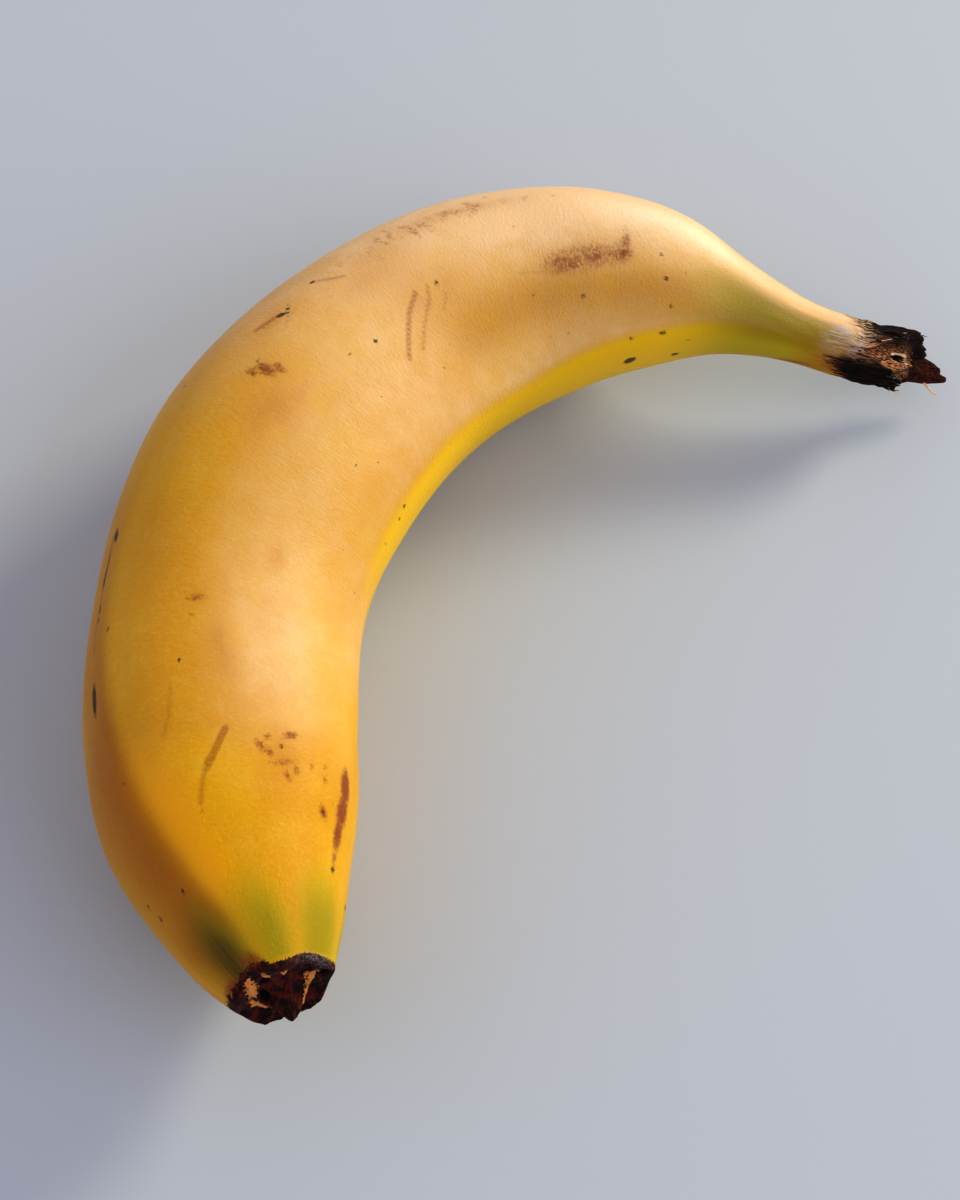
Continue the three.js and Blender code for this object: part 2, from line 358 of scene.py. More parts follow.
# places on the crust: millimetres outward, millimetres up, half length, half width, turn
CRUST_FLAKES = [(4.0, 3.4, 2.1, 0.85, 86), (3.45, -0.3, 1.9, 0.55, 44), (-2.1, 0.1, 3.0, 0.5, -48),
                (-3.7, 1.8, 1.2, 0.9, -48), (1.9, 5.2, 0.9, 0.4, 60), (-0.3, 5.0, 0.5, 0.35, 0)]
CRUST_PITS = [(-5.2, 1.3, 1.3, 1.0, 20), (2.2, 3.9, 0.8, 0.6, 10), (2.5, 1.3, 0.9, 0.9, 0)]


def place_depth(places, outward, upward):
    return max(inside(place, outward - place[0], upward - place[1]) for place in places)


def end_lean(angle, size):
    return END_LEAN / 2 * (1 + size * math.cos(math.radians(angle)))


# The stub is what is left of the stalk after the finger was torn off its bunch: a thin ragged wall
# with a long splinter below and a notch on its inner side, round a torn core of fibres with a hole.
TORN_EDGE = [(-180, 190.4), (-168, 187.6), (-150, 186.6), (-123, 186.3), (-95, 186.7), (-75, 186.2),
             (-55, 185.3), (-33, 184.2), (-10, 184.8), (10, 186.2), (30, 187.8), (57, 189), (75, 189.8),
             (95, 190.6), (130, 192.6), (150, 194.2), (165, 195.4), (180, 190.4)]
TORN_WAVE = 0.3
TORN_TEETH = 11
TORN_BITES = 1.1  # how deep the irregular bites in the edge are
SPLINTER_END = 195.2
NOTCH_ANGLE = -36
NOTCH_WIDTH = 24
NOTCH_DEPTH = 3.6
CORE_END = 187.6
CORE = [(0, 1), (0.4, 0.9), (0.6, 0.55), (0.78, 0.08), (1, 0)]
# the hole lies this far outward and up from the middle of the core
HOLE = (-1.45, 2.0, 0.46, 0.34, 60)
HOLE_DEPTH = 2.2
SHREDS = [(0.6, 1.1), (0.5, 2.9), (0.2, 6)]  # height and fineness
# pale fibres show between the hole and the notch, at this place outward and up
BARE_CORE = (-2.3, 2.1)
BARE_CORE_SPREAD = 3.4  # square millimetres
# where the peel turns black, by angle
BLACK_FROM = [(-180, 178.6), (-112, 178.6), (-64, 176.9), (-45, 179.2), (-8, 179.6), (11, 178.6),
              (30, 179.2), (70, 177.4), (120, 177.5), (180, 178.6)]
RAGGED_EDGE = [(1, 0.35), (0.5, 1.1)]  # height and fineness of the edges of the black and of the crust


def notch(angle):
    return hump(signed(angle - NOTCH_ANGLE), 0, NOTCH_WIDTH)


def torn_edge(angle):
    half = signed(angle)
    turn = math.radians(half)
    ragged = noise.noise(Vector((math.cos(turn), math.sin(turn), 3.3)) * 5)
    teeth = TORN_WAVE * math.sin(TORN_TEETH * turn)
    edge = along(TORN_EDGE, half) + teeth + TORN_BITES * min(ragged, 0.0) - NOTCH_DEPTH * notch(half)
    return min(edge, SPLINTER_END) - PEEL_INSET


def straight(way, angle, reach):
    """Place on the fruit as if its middle line were straight, for relief and patterns that follow it."""
    turn = math.radians(angle)
    return Vector((way, math.cos(turn) * reach, math.sin(turn) * reach))


# relief in layers: height in millimetres, size across and along the fruit, and seed
PEEL_WOBBLE = [(0.10, 6, 12, 0.5), (0.02, 1.8, 3.5, 7.5)]
NECK_WRINKLES = [(0.16, 0.9, 9, 4.1)]
NECK_WRINKLES_FROM = (160, 176)
STUB_FIBRES = [(0.5, 2.2, 2.4, 9.7), (0.3, 1.1, 1.3, 1.9), (0.34, 0.55, 4.5, 2.3), (0.16, 0.25, 1.6, 6.1)]
STUB_SHRINK = 0.14
STUB_ROUGH_FROM = (175, 181)
SPLINTER_SMOOTH = 4


def grain(place, layers):
    """Relief that is drawn out along the fruit."""
    height = 0.0
    for depth, across, lengthwise, seed in layers:
        drawn_out = Vector((place.x / lengthwise + seed, place.y / across, place.z / across))
        height += depth * noise.noise(drawn_out)
    return height


def rugged(place, layers):
    """Relief that is alike in all directions."""
    return sum(height * noise.noise(place * fineness) for height, fineness in layers)


def peel_relief(way, place):
    return grain(place, PEEL_WOBBLE) + fade(way, *NECK_WRINKLES_FROM) * grain(place, NECK_WRINKLES)


def stub_relief(way, place):
    rough = fade(way, *STUB_ROUGH_FROM) * fade(SPLINTER_END - way, 0, SPLINTER_SMOOTH)
    return rough * (grain(place, STUB_FIBRES) - STUB_SHRINK)


# the skin is grown row by row from the middle of the crust to the middle of the torn core
AROUND = 192
CRUST_ROWS = 26
BODY_ROWS = 292
STUB_ROWS = 52
CORE_ROWS = 30
PATTERN_RADIUS = 18.0
DEPTH_MASKS = ("dark", "brown", "black", "crust", "flake", "pit", "hole")
TINT_MASKS = ("scratch", "bruise", "stain", "painted_sheen", "flank_shade", "painted_shade", "lemon", "painted_light", "painted_highlight", "green",
              "olive_and_shade", "scorch", "cream", "scuff", "rust", "straw")

fruit = bmesh.new()
angle_layer = fruit.verts.layers.float.new("angle")
straight_layer = fruit.verts.layers.float_vector.new("straight")
mask_layers = {name: fruit.verts.layers.float.new(name) for name in DEPTH_MASKS + TINT_MASKS}
bmesh.ops.create_circle(fruit, cap_ends=True, cap_tris=True, segments=AROUND, radius=1.0)
pole = max(fruit.verts, key=lambda vert: len(vert.link_edges))
ring = [vert for vert in fruit.verts if vert is not pole]
for vert in ring:
    vert[angle_layer] = math.degrees(math.atan2(vert.co.y, vert.co.x)) % 360
rim = [edge for edge in fruit.edges if edge.is_boundary]


def next_row(bm, edges):
    """Grow a row of faces from an open rim, and give the new rim's vertices and edges."""
    grown = bmesh.ops.extrude_edge_only(bm, edges=edges)["geom"]
    verts = [item for item in grown if isinstance(item, bmesh.types.BMVert)]
    new_edges = [item for item in grown if isinstance(item, bmesh.types.BMEdge) and item.is_boundary]
    return verts, new_edges


def give(vert, values):
    """Write a vertex's masks. Those that aren't named are outside or zero."""
    for name, layer in mask_layers.items():
        vert[layer] = values.get(name, OUTSIDE if name in DEPTH_MASKS else 0.0)


def place_crust(verts, size):
    for vert in verts:
        angle = vert[angle_layer]
        way = end_lean(angle, size)
        reach = (Slice(way).skin(angle) - PEEL_INSET) * size
        outward = math.sin(math.radians(angle)) * reach
        upward = math.cos(math.radians(angle)) * reach
        flake = place_depth(CRUST_FLAKES, outward, upward)
        pit = place_depth(CRUST_PITS, outward, upward)
        crag = rugged(Vector((outward, upward, 0.0)), CRAGS) - CRAG_DROP
        crag += FLAKE_RISE * fade(flake, 0, 0.6) - PIT_DEPTH * fade(pit, -0.1, 0.8)
        proud = along(CRUST, size) + CRUST_WAVE * size * math.cos(math.radians(CRUST_LOBES * angle))
        proud += fade(1 - size, 0.0, 0.12) * crag
        vert.co = skin_point(way, angle, reach, proud, CRUST_NUB_DROP * (1 - size))
        vert[straight_layer] = straight(way, angle, PATTERN_RADIUS * size)
        pale_rim = 0.35 * hump(angle, 318, 24) * fade(size, 0.8, 0.95)
        give(vert, {"crust": (1 - size) * 6 + 0.5, "flake": flake, "pit": pit, "scuff": pale_rim})


def peel_tints(cut, way, half):
    """Tints of the peel that go by its ridges: painted sheen, painted shade on the top face and the flank,
    painted light near the tip, the inside of the bend, and the green ends, with painted shade on the tip.
    """
    inner_ridge, upper_ridge = cut.ridges[0][0], cut.ridges[2][0]
    past_ridge = half - upper_ridge
    valley = 1 - cut.crest(half)
    top_face = fade(half - inner_ridge, -6, 6) * fade(95 - half, 0, 40)
    # painted shade: a dull tan on the top face, which also thins the painted sheen there
    painted_shade = 0.9 * patch(SHADE_FACE, way, half) * top_face

    # thinner painted sheen short of the upper ridge and hardly any past it, on the lower half of the fruit
    painted_sheen = along(FACE_PAINTED_SHEEN, way) * top_face
    painted_sheen *= 1 - 0.45 * fade(-past_ridge, -10, 25) * fade(100 - way, 0, 30)
    painted_sheen *= 1 - 0.9 * fade(past_ridge, -8, 4) * fade(92 - way, 0, 25)
    painted_sheen *= 1 - 0.8 * fade(half, -12, 12) * fade(100 - way, 0, 36)
    painted_sheen *= 1 - 0.85 * painted_shade
    painted_sheen += along(BACK_PAINTED_SHEEN, way) * hump(half, 20, 30)
    painted_sheen += along(BAND_PAINTED_SHEEN, way) * hump(half, along(BAND_RUN, way), 24) * top_face
    painted_sheen += 0.35 * patch(INNER_PAINTED_HIGHLIGHT, way, half)

    painted_shade += 0.6 * patch(SHADE_BACK, way, half)
    painted_shade += 0.5 * patch(SHADE_BEND, way, half)
    painted_shade += 0.4 * patch(SHADE_TOP, way, half)
    painted_shade += 0.25 * between(way, 45, 62, 96, 108) * top_face

    # the tip's valleys are a darker olive green, and its side at about 42 degrees carries painted shade
    tip = fade(10.5 + 2.5 * valley - way, 0, 9)
    tip_shade = 0.25 * tip * tip * valley + 0.75 * tip * hump(half, 42, 22)
    neck = fade(way, 150, 166) * (fade(-half, -8, 20) + fade(half, 40, 70))
    return {
        "painted_sheen": painted_sheen,
        "painted_shade": painted_shade,
        # painted shade: burnt orange on the flank past the upper ridge, on the side away from the lamp
        "flank_shade": between(way, 2, 8, 35, 80) * fade(past_ridge, -3, 9) * fade(112 - half, 0, 75),
        # painted light: bright gold just short of the upper ridge near the tip, where the peel turns from
        # the lamp
        "painted_light": between(way, 5, 13, 20, 34) * hump(past_ridge, -5, 12),
        "lemon": between(way, 50, 80, 156, 168) * fade(inner_ridge - half, -2, 8) * fade(half, -160, -130),
        "green": tip * (0.5 + 0.5 * valley) * fade(58 - half, 0, 22) + neck * (0.6 + 0.4 * valley),
        "olive_and_shade": tip_shade + 0.5 * neck * fade(half, -85, -55),
    }


def skin_masks(vert, cut, marks, angle):
    way = marks.way
    half = signed(angle)
    ragged = rugged(vert.co, RAGGED_EDGE)
    values = {name: patch(place, way, half) for name, place in PATCHES.items()}
    values.update(peel_tints(cut, way, half))
    values.update({
        "dark": marks.deepest(marks.dark, angle, cut.radius),
        "brown": marks.deepest(marks.brown, angle, cut.radius),
        "scratch": marks.scratched(half, cut.radius),
        "bruise": marks.softest(marks.bruise, angle, cut.radius),
        "stain": marks.softest(marks.stain, angle, cut.radius),
        "black": way - along(BLACK_FROM, half) + 0.9 * ragged,
        "rust": fade(way, 178, 181) * (0.12 + 0.88 * fade(abs(half), 120, 165) * fade(way, 185, 191)),
        "crust": end_lean(angle, 1) - way + along(CRUST_EDGE, half) + ragged,
    })
    give(vert, values)


def place_skin(verts, way_at, stub=False):
    cuts = {}
    for vert in verts:
        angle = vert[angle_layer]
        way = way_at(angle)
        if way not in cuts:
            cuts[way] = Slice(way), Marks(way)
        cut, marks = cuts[way]
        reach = cut.skin(angle) - PEEL_INSET
        at = straight(way, angle, reach)
        reach += peel_relief(way, at) * fade(way, 0.5, 4) + (stub_relief(way, at) if stub else 0)
        vert.co = skin_point(way, angle, reach)
        vert[straight_layer] = straight(way, angle, PATTERN_RADIUS)
        skin_masks(vert, cut, marks, angle)


def place_core(verts, size):
    for vert in verts:
        angle = vert[angle_layer]
        half = signed(angle)
        edge = torn_edge(angle)
        way = mix(edge, CORE_END, along(CORE, size))
        cut = Slice(way)
        at = straight(way, angle, cut.skin(angle) * size)
        hole = inside(HOLE, at.z - HOLE[0], at.y - HOLE[1])
        shreds = rugged(Vector((at.y, at.z, 0.0)), SHREDS)
        way += fade(1 - size, 0.02, 0.25) * shreds - HOLE_DEPTH * fade(hole, -0.2, 0.5)
        way = min(way, SPLINTER_END)
        wall = stub_relief(way, straight(way, angle, cut.radius)) * size * fade(size, 0.6, 1)
        reach = at.yz.length + wall
        vert.co = skin_point(way, angle, reach)
        vert[straight_layer] = straight(way, angle, PATTERN_RADIUS * size)
        bare = math.exp(-((at.z - BARE_CORE[0]) ** 2 + (at.y - BARE_CORE[1]) ** 2) / BARE_CORE_SPREAD)
        give(vert, {"black": 8.0, "hole": hole, "straw": bare,
                    "rust": 0.16 + 0.84 * fade(abs(half), 110, 150) * fade(size, 0.3, 0.7)})


pole[angle_layer] = 0.0
place_crust([pole], 0.0)
place_crust(ring, 1 / CRUST_ROWS)
for row in range(2, CRUST_ROWS + 1):
    ring, rim = next_row(fruit, rim)
    place_crust(ring, row / CRUST_ROWS)
for row in range(1, BODY_ROWS + 1):
    ring, rim = next_row(fruit, rim)
    way = NECK_END * row / BODY_ROWS
    leaning = max(0.0, 1 - way / END_LEAN_FADE)
    place_skin(ring, lambda angle: way + leaning * end_lean(angle, 1), stub=way > 170)
for row in range(1, STUB_ROWS + 1):
    ring, rim = next_row(fruit, rim)
    part = row / STUB_ROWS
    place_skin(ring, lambda angle: mix(NECK_END, torn_edge(angle), part), stub=True)
for row in range(1, CORE_ROWS + 1):
    ring, rim = next_row(fruit, rim)
    place_core(ring, 1 - row / (CORE_ROWS + 1))
end = Vector()
for vert in ring:
    end += vert.co / len(ring)
ring, rim = next_row(fruit, rim)
bmesh.ops.pointmerge(fruit, verts=ring, merge_co=end)

ORIGIN = Vector((67.89, 36.05, 0))  # from the blossom end's middle to the middle of the fruit's box
bmesh.ops.translate(fruit, verts=fruit.verts, vec=-ORIGIN)
bmesh.ops.scale(fruit, verts=fruit.verts, vec=(MM, MM, MM))
bmesh.ops.recalc_face_normals(fruit, faces=fruit.faces)
for face in fruit.faces:
    face.smooth = True
mesh = bpy.data.meshes.new("banana_skin")
fruit.to_mesh(mesh)
fruit.free()
banana = bpy.data.objects.new("banana_fruit", mesh)
bpy.context.scene.collection.objects.link(banana)


def srgb(red, green, blue):
    """Linear colour of an 8-bit screen colour."""
    def linear(value):
        value /= 255
        return value / 12.92 if value <= 0.04045 else ((value + 0.055) / 1.055) ** 2.4
    return linear(red), linear(green), linear(blue), 1.0


class Finish:
    """A material's nodes, added one by one."""

    def __init__(self, name):
        self.material = bpy.data.materials.new(name)
        self.material.use_nodes = True
        self.tree = self.material.node_tree
        self.shader = self.tree.nodes["Principled BSDF"]

    def node(self, kind, inputs=(), **settings):
        made = self.tree.nodes.new("ShaderNode" + kind)
        for name, value in settings.items():
            setattr(made, name, value)
        for key, value in dict(inputs).items():
            self.feed(made.inputs[key], value)
        return made

    def feed(self, socket, value):
        if isinstance(value, bpy.types.NodeSocket):
            self.tree.links.new(value, socket)
        else:
            socket.default_value = value

    def attribute(self, name, output="Fac"):
        return self.node("Attribute", attribute_name=name).outputs[output]

    def stretched(self, vector, scale):
        return self.node("Mapping", {"Vector": vector, "Scale": scale}).outputs["Vector"]

    def noise(self, vector, scale, detail=2.0, roughness=0.5):
        inputs = {"Vector": vector, "Scale": scale, "Detail": detail, "Roughness": roughness}
        return self.node("TexNoise", inputs).outputs["Fac"]

    def cells(self, vector, scale, feature="F1"):
        made = self.node("TexVoronoi", {"Vector": vector, "Scale": scale}, feature=feature)
        return made.outputs["Distance"]

    def math(self, operation, a, b):
        return self.node("Math", {0: a, 1: b}, operation=operation).outputs[0]

    def add(self, *values):
        total = values[0]
        for value in values[1:]:
            total = self.math("ADD", total, value)
        return total

    def times(self, a, b):
        return self.math("MULTIPLY", a, b)

    def step(self, value, low, high, to_low=0.0, to_high=1.0):
        inputs = {"Value": value, "From Min": low, "From Max": high, "To Min": to_low, "To Max": to_high}
        return self.node("MapRange", inputs, interpolation_type="SMOOTHSTEP").outputs["Result"]

    def blend(self, part, a, b):
        made = self.node("Mix", data_type="RGBA")
        self.feed(made.inputs["Factor"], part)
        self.feed(made.inputs[6], a)
        self.feed(made.inputs[7], b)
        return made.outputs[2]

    def bump(self, height, distance, strength=1.0):
        inputs = {"Height": height, "Distance": distance, "Strength": strength}
        return self.node("Bump", inputs).outputs["Normal"]


# the peel: waxy golden yellow, with a fine grain across the fruit, greener at both ends, freckled,
# bruised and scratched, with painted sheen, highlights, light and shade laid into its colour
GOLD = srgb(226, 172, 6)
AMBER = srgb(212, 148, 4)
HONEY = srgb(232, 194, 66)
PAINTED_SHEEN_CREAM = srgb(238, 202, 156)
FLANK_SHADE_ORANGE = srgb(152, 66, 0)
SHADE_TAN = srgb(172, 114, 14)
LEMON = srgb(244, 198, 2)
PAINTED_LIGHT_GOLD = srgb(252, 176, 2)
HIGHLIGHT_WHITE = srgb(252, 234, 208)
YELLOW_GREEN = srgb(178, 164, 4)
OLIVE_AND_SHADE = srgb(84, 60, 2)
OCHRE = srgb(190, 116, 6)
BRUISE = srgb(136, 66, 52)
SCAR = srgb(140, 62, 18)
SPOT = srgb(44, 18, 6)
peel = Finish("banana_peel")
place = peel.attribute("straight", "Vector")
real_place = peel.stretched(peel.node("TexCoord").outputs["Object"], (1000, 1000, 1000))
slow = peel.noise(place, 0.045, 3.0, 0.5)
cloud = peel.noise(place, 0.25, 4.0, 0.6)
across = peel.noise(peel.stretched(place, (2.6, 1.0, 1.0)), 1.0, 4.0, 0.6)
lengthwise = peel.noise(peel.stretched(place, (0.2, 1.5, 1.5)), 1.0, 4.0, 0.6)
pores = peel.noise(place, 3.0, 3.0, 0.6)

colour = peel.blend(peel.step(slow, 0.34, 0.66, 0.2, 1.0), AMBER, GOLD)
colour = peel.blend(peel.step(cloud, 0.42, 0.85, 0.0, 0.3), colour, HONEY)
colour = peel.blend(peel.step(across, 0.3, 0.5, 0.35, 0.0), colour, AMBER)
colour = peel.blend(peel.step(across, 0.5, 0.75, 0.0, 0.3), colour, HONEY)
colour = peel.blend(peel.step(lengthwise, 0.3, 0.7, 0.0, 0.18), colour, AMBER)
# painted shade: burnt orange on the flank past the upper ridge, on the side away from the lamp
colour = peel.blend(peel.times(peel.attribute("flank_shade"), 0.7), colour, FLANK_SHADE_ORANGE)
# painted shade: a dull tan where the top face turns away from the light
colour = peel.blend(peel.times(peel.attribute("painted_shade"), peel.step(cloud, 0.3, 0.7, 0.65, 0.85)), colour, SHADE_TAN)
colour = peel.blend(peel.times(peel.attribute("lemon"), 0.8), colour, LEMON)
# painted light: bright gold just short of the upper ridge near the tip, where the peel turns from the lamp
colour = peel.blend(peel.times(peel.attribute("painted_light"), 0.9), colour, PAINTED_LIGHT_GOLD)
# painted sheen: pale cream mixed into the peel in place of the wax's sheen
painted_sheen = peel.times(peel.attribute("painted_sheen"), peel.step(cloud, 0.3, 0.7, 0.75, 1.1))
colour = peel.blend(painted_sheen, colour, PAINTED_SHEEN_CREAM)
# painted highlight: near-white cream on the back of the bend
colour = peel.blend(peel.times(peel.attribute("painted_highlight"), 0.6), colour, HIGHLIGHT_WHITE)
colour = peel.blend(peel.times(peel.attribute("green"), 0.85), colour, YELLOW_GREEN)
# dark olive: real green in the tip's valleys and on the neck, and painted shade on the tip's side away from
# the lamp
olive_and_shade = peel.times(peel.attribute("olive_and_shade"), peel.step(lengthwise, 0.3, 0.7, 0.9, 1.0))
colour = peel.blend(olive_and_shade, colour, OLIVE_AND_SHADE)
stained = peel.times(peel.attribute("stain"), peel.step(cloud, 0.35, 0.65, 0.3, 1.0))
colour = peel.blend(peel.times(stained, 0.45), colour, OCHRE)
mottled = peel.step(peel.add(across, peel.times(pores, 0.6)), 0.55, 1.05, 0.35, 1.1)
bruised = peel.step(peel.times(peel.attribute("bruise"), mottled), 0.06, 1.0, 0.0, 0.75)
colour = peel.blend(bruised, colour, BRUISE)
ragged = peel.step(peel.noise(place, 2.2, 4.0, 0.7), 0.25, 0.75, -0.25, 0.25)
scarred = peel.step(peel.add(peel.attribute("brown"), ragged), -0.45, 0.4, 0.0, 0.85)
colour = peel.blend(scarred, colour, SCAR)
grazed = peel.times(peel.step(peel.attribute("scratch"), 0.25, 0.8), peel.step(pores, 0.3, 0.6, 0.35, 0.6))
colour = peel.blend(grazed, colour, SCAR)
nibbled = peel.step(pores, 0.25, 0.75, -0.1, 0.1)
spotted = peel.step(peel.add(peel.attribute("dark"), nibbled), -0.24, 0.08, 0.0, 0.92)
colour = peel.blend(spotted, colour, SPOT)
freckles = peel.step(peel.cells(place, 0.42), 0.02, 0.07, 0.55, 0.0)
freckled = peel.times(freckles, peel.step(cloud, 0.5, 0.62))
colour = peel.blend(freckled, colour, SCAR)

# the stub: pinkish cream and grey scuffs where the peel stops, then black, rusty and straw-coloured
CREAM = srgb(246, 206, 166)
SCUFF = srgb(196, 176, 172)
CHAR = srgb(3, 1, 1)
SCORCH = srgb(176, 96, 8)
RUST = srgb(112, 34, 14)
STRAW = srgb(232, 160, 106)
HOLLOW_SHADE = srgb(1, 0, 0)
streak = peel.noise(peel.stretched(place, (0.45, 0.75, 0.75)), 1.0, 5.0, 0.7)
thread = peel.noise(peel.stretched(place, (0.55, 2.2, 2.2)), 1.0, 3.0, 0.6)
black = peel.attribute("black")
scuff = peel.attribute("scuff")
straw = peel.attribute("straw")
frayed = peel.add(black, peel.step(thread, 0.3, 0.7, -1.9, 1.7))
colour = peel.blend(peel.times(peel.attribute("scorch"), 0.8), colour, SCORCH)
colour = peel.blend(peel.times(peel.attribute("cream"), 0.85), colour, CREAM)
browned = peel.times(peel.step(frayed, -1.8, -0.2), peel.step(peel.attribute("cream"), 0.1, 0.5, 0.8, 0.15))
colour = peel.blend(browned, colour, RUST)
colour = peel.blend(peel.times(scuff, peel.step(streak, 0.42, 0.58)), colour, SCUFF)
charred = peel.step(frayed, -0.7, 0.5)
bare = peel.times(scuff, peel.step(peel.add(streak, peel.times(thread, 0.5)), 0.7, 0.82))
charred = peel.times(charred, peel.step(bare, 0.0, 0.6, 1.0, 0.0))
colour = peel.blend(charred, colour, CHAR)
rusty = peel.times(peel.attribute("rust"), peel.step(thread, 0.48, 0.64))
colour = peel.blend(rusty, colour, RUST)
colour = peel.blend(peel.times(straw, peel.step(thread, 0.42, 0.62)), colour, STRAW)
hole = peel.attribute("hole")
pale_lip = peel.times(peel.step(hole, -1.1, -0.5), peel.step(hole, -0.3, -0.1, 1.0, 0.0))
pale_lip = peel.times(pale_lip, peel.step(peel.noise(real_place, 0.9, 2.0, 0.5), 0.46, 0.56))
colour = peel.blend(peel.times(pale_lip, 0.95), colour, CREAM)
# painted shade: the inside of the torn core's hole is painted near black
colour = peel.blend(peel.step(hole, -0.3, 0.0), colour, HOLLOW_SHADE)

# the crust of the blossom end: nearly black and dark red-brown, with tan flakes
CRUST_DARK = srgb(26, 6, 6)
CRUST_RED = srgb(86, 22, 11)
FLAKE = srgb(214, 138, 72)
crag = peel.noise(real_place, 0.9, 4.0, 0.6)
crumbs = peel.noise(real_place, 3.0, 3.0, 0.6)
crusted = peel.step(peel.add(peel.attribute("crust"), peel.step(crumbs, 0.3, 0.7, -0.25, 0.25)), -0.12, 0.2)
crust_colour = peel.blend(peel.step(crag, 0.46, 0.62), CRUST_DARK, CRUST_RED)
flaked = peel.step(peel.add(peel.attribute("flake"), peel.step(crumbs, 0.25, 0.75, -0.5, 0.5)), -0.05, 0.35)
crust_colour = peel.blend(flaked, crust_colour, FLAKE)
crust_colour = peel.blend(peel.times(scuff, peel.step(crumbs, 0.4, 0.6)), crust_colour, SCUFF)
# painted shade: the crust's pits are painted near black
crust_colour = peel.blend(peel.step(peel.attribute("pit"), -0.1, 0.4), crust_colour, HOLLOW_SHADE)
colour = peel.blend(crusted, colour, crust_colour)
peel.feed(peel.shader.inputs["Base Color"], colour)

rough = peel.add(peel.step(pores, 0.3, 0.7, 0.42, 0.5), peel.times(charred, 0.45), peel.times(crusted, 0.4))
peel.feed(peel.shader.inputs["Roughness"], rough)
peel.shader.inputs["IOR"].default_value = 1.5
peel.shader.inputs["Subsurface Weight"].default_value = 0.1
peel.shader.inputs["Subsurface Radius"].default_value = (1.0, 0.4, 0.08)
peel.shader.inputs["Subsurface Scale"].default_value = 0.0015
peel.shader.inputs["Specular IOR Level"].default_value = 0.16
peel.shader.inputs["Sheen Weight"].default_value = 0.03
peel.shader.inputs["Sheen Roughness"].default_value = 0.45
peel.shader.inputs["Sheen Tint"].default_value = (1.0, 0.93, 0.84, 1.0)

leather = peel.cells(peel.stretched(place, (1.8, 1.2, 1.2)), 1.5, "SMOOTH_F1")
relief = peel.add(peel.times(pores, 0.45), peel.times(across, 0.9), peel.times(leather, 0.35))
relief = peel.add(relief, peel.times(spotted, -0.6), peel.times(scarred, -0.35), peel.times(charred, streak))
peel.feed(peel.shader.inputs["Normal"], peel.bump(relief, 0.00014, 0.65))

mesh.materials.append(peel.material)
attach(banana, "root")
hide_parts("banana")

# The torn fibres
# Tearing the finger off its bunch leaves dry fibres of the stalk round the edge of the stub. They are
# thin, stiff and pointed, dark at the root and paler at the tip. One long pale one curls from the splinter.
FIBRE_SIDES = 6
FIBRE_JOINTS = 7
FIBRES = 46
FIBRE_SEED = 23
HAIR_ROOT = (191.2, 174.0)  # way and angle
HAIR_THICKNESS = 0.24
HAIR_CURL = [(0.1, -0.5, 0.0), (0.0, -0.55, -0.25), (-0.05, -0.6, -0.35), (0.0, -0.6, -0.3),
             (0.1, -0.5, -0.1), (0.15, -0.4, 0.0)]
FIBRE_SUNK = 0.25  # millimetres that a root sits in the peel
HAIR_SUNK = 0.3


def grow_fibre(bm, path, thickness, dark_part):
    """Grow one fibre from its root to its point, through places in millimetres."""
    start = (path[1] - path[0]).to_track_quat("Z", "Y").to_matrix().to_4x4()
    start.translation = path[0]
    root = bmesh.ops.create_circle(bm, cap_ends=True, segments=FIBRE_SIDES, radius=thickness, matrix=start)
    ring = root["verts"]
    rim = list({edge for vert in ring for edge in vert.link_edges if edge.is_boundary})
    steps = len(path) - 1
    for i in range(1, steps):
        ring, rim = next_row(bm, rim)
        shrink = (1 - i / steps) ** 0.6 / (1 - (i - 1) / steps) ** 0.6
        bmesh.ops.translate(bm, verts=ring, vec=path[i] - path[i - 1])
        bmesh.ops.scale(bm, verts=ring, vec=(shrink, shrink, shrink), space=Matrix.Translation(-path[i]))
        for vert in ring:
            vert[pale_layer] = fade(i / steps, dark_part, dark_part + 0.4)
    tip, _ = next_row(bm, rim)
    for vert in tip:
        vert[pale_layer] = 1.0 - dark_part
    bmesh.ops.pointmerge(bm, verts=tip, merge_co=path[-1])


fibres = bmesh.new()
pale_layer = fibres.verts.layers.float.new("pale")
strands = random.Random(FIBRE_SEED)
for _ in range(FIBRES):
    angle = strands.uniform(-150, 140)
    length = strands.uniform(0.7, 2.0) * (1.3 if -80 < angle < 20 else 1.0 - 0.9 * fade(angle, 60, 105))
    way = torn_edge(angle) - strands.uniform(0.4, 1.6)
    lift = strands.uniform(-0.5, 0.35)
    twist = strands.uniform(-14, 14)
    thickness = strands.uniform(0.07, 0.17)
    dark_part = strands.choice((0.1, 0.5, 0.9, 0.9))
    path = []
    for i in range(FIBRE_JOINTS):
        part = i / (FIBRE_JOINTS - 1)
        at = way + length * part
        reach = Slice(at).skin(angle) - FIBRE_SUNK + lift * part * part * length
        path.append(skin_point(at, angle + twist * part * length / 2, reach))
    grow_fibre(fibres, path, thickness, dark_part)
hair_way, hair_angle = HAIR_ROOT
hair = [skin_point(hair_way, hair_angle, Slice(hair_way).skin(hair_angle) - HAIR_SUNK)]
for bend in HAIR_CURL:
    hair.append(hair[-1] + Vector(bend))
grow_fibre(fibres, hair, HAIR_THICKNESS, 0.0)
bmesh.ops.translate(fibres, verts=fibres.verts, vec=-ORIGIN)
bmesh.ops.scale(fibres, verts=fibres.verts, vec=(MM, MM, MM))
bmesh.ops.recalc_face_normals(fibres, faces=fibres.faces)
for face in fibres.faces:
    face.smooth = True
fibre_mesh = bpy.data.meshes.new("torn_fibres")
fibres.to_mesh(fibre_mesh)
fibres.free()
torn_fibres = bpy.data.objects.new("torn_fibres", fibre_mesh)
bpy.context.scene.collection.objects.link(torn_fibres)

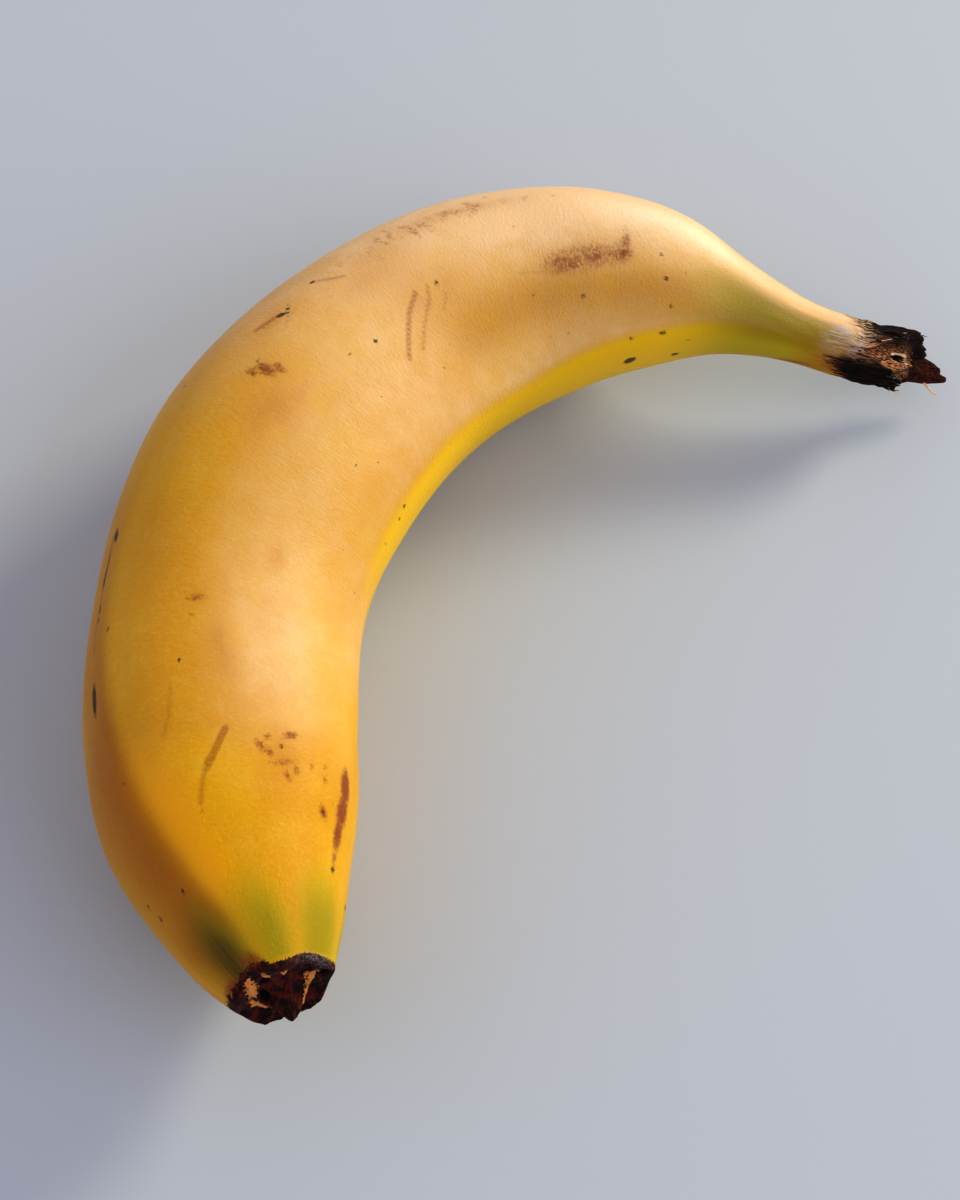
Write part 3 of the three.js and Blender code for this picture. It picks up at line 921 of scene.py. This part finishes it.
FIBRE_DARK = srgb(26, 8, 5)
FIBRE_PALE = srgb(236, 190, 150)
fibre = Finish("torn_fibre")
fibre_place = fibre.stretched(fibre.node("TexCoord").outputs["Object"], (1000, 1000, 1000))
worn = fibre.noise(fibre_place, 1.6, 3.0, 0.6)
pale = fibre.step(fibre.add(fibre.attribute("pale"), fibre.step(worn, 0.3, 0.7, -0.4, 0.3)), 0.15, 0.75)
fibre.feed(fibre.shader.inputs["Base Color"], fibre.blend(pale, FIBRE_DARK, FIBRE_PALE))
fibre.shader.inputs["Roughness"].default_value = 0.75
fibre_mesh.materials.append(fibre.material)
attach(torn_fibres, "root")

# The table, the lights and the camera
# A plain pale table top, a warm low lamp on the side of the stub, wide cool panels behind, in front
# and to the left, and a camera that looks down on the fruit as it lies.
floor_mesh = bpy.data.meshes.new("table_top")
floor_form = bmesh.new()
bmesh.ops.create_grid(floor_form, x_segments=1, y_segments=1, size=3.0)
floor_form.to_mesh(floor_mesh)
floor_form.free()
floor = bpy.data.objects.new("table_top", floor_mesh)
bpy.context.scene.collection.objects.link(floor)
table = Finish("table_top")
table.shader.inputs["Base Color"].default_value = srgb(190, 198, 212)
table.shader.inputs["Roughness"].default_value = 0.7
floor_mesh.materials.append(table.material)

CAMERA_AT = Vector((-0.15345, -0.14073, 0.3122))
CAMERA_TO = Vector((0.00055, -0.00883, 0.0))
camera = bpy.data.objects.new("camera", bpy.data.cameras.new("camera"))
camera.data.lens = 78
camera.data.sensor_width = 36
camera.data.clip_start = 0.01
camera.location = CAMERA_AT
camera.rotation_euler = (CAMERA_TO - CAMERA_AT).to_track_quat("-Z", "Y").to_euler()
bpy.context.scene.collection.objects.link(camera)
bpy.context.scene.camera = camera


def panel(name, azimuth, elevation, distance, width, height, power, tint):
    """A soft panel lamp that faces the fruit."""
    data = bpy.data.lights.new(name, "AREA")
    data.shape = "RECTANGLE"
    data.size = width
    data.size_y = height
    data.energy = power
    data.color = tint
    lamp = bpy.data.objects.new(name, data)
    a, e = math.radians(azimuth), math.radians(elevation)
    lamp.location = distance * Vector((math.cos(a) * math.cos(e), math.sin(a) * math.cos(e), math.sin(e)))
    lamp.rotation_euler = (-lamp.location).to_track_quat("-Z", "Y").to_euler()
    bpy.context.scene.collection.objects.link(lamp)


panel("window_lamp", -14, 24, 1.4, 0.45, 0.32, 14.6, (1.0, 0.94, 0.66))
panel("sky_panel", 48, 34, 1.5, 2.0, 1.1, 1.2, (0.7, 0.9, 1.0))
panel("room_panel", -78, 34, 1.5, 1.4, 0.9, 9.0, (0.85, 0.95, 1.0))
panel("left_panel", 140, 40, 1.5, 1.6, 1.0, 3.0, (0.75, 0.95, 1.0))
world = bpy.data.worlds.new("room")
world.use_nodes = True
world.node_tree.nodes["Background"].inputs["Color"].default_value = (1.0, 0.88, 0.92, 1.0)
world.node_tree.nodes["Background"].inputs["Strength"].default_value = 0.5
bpy.context.scene.world = world
bpy.context.scene.view_settings.view_transform = "Standard"
bpy.context.scene.view_settings.gamma = 0.85
